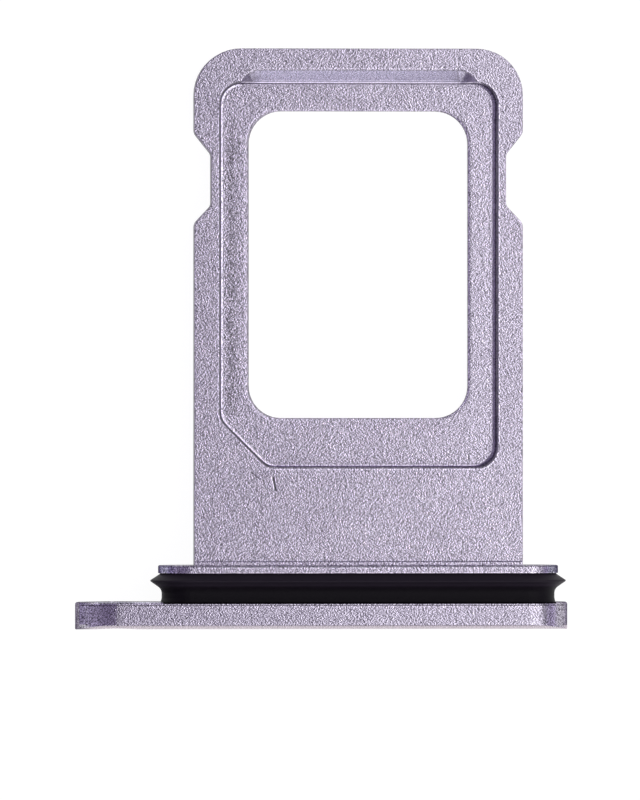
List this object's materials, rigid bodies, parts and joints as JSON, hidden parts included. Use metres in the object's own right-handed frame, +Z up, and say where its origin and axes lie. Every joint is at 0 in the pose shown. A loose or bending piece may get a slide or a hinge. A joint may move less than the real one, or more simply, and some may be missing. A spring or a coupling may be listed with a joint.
{
  "type": "sim card tray",
  "caption": "Slim aluminium card tray for a phone: keyed open pocket with a window, notched sides, crowned oval face plate with an eject hole, and a rubber lip seal.",
  "frame": {"origin": "bottom centre of the bounding box: half way along X and Y, at the height of the face plate's lower edge", "axes": "+X along the face plate, away from the eject hole; +Y towards the tip, the way the tray is pushed in; +Z up, out of the card pocket"},
  "size_m": [0.016, 0.0188, 0.0026],
  "materials": {
    "anodised_aluminium": "bead-blasted, lilac anodised, satin",
    "black_rubber": "moulded silicone rubber, dull sheen"
  },
  "bodies": {
    "root": {"tray_body": "anodised_aluminium", "rubber_gasket": "black_rubber"}
  },
  "joints": []
}
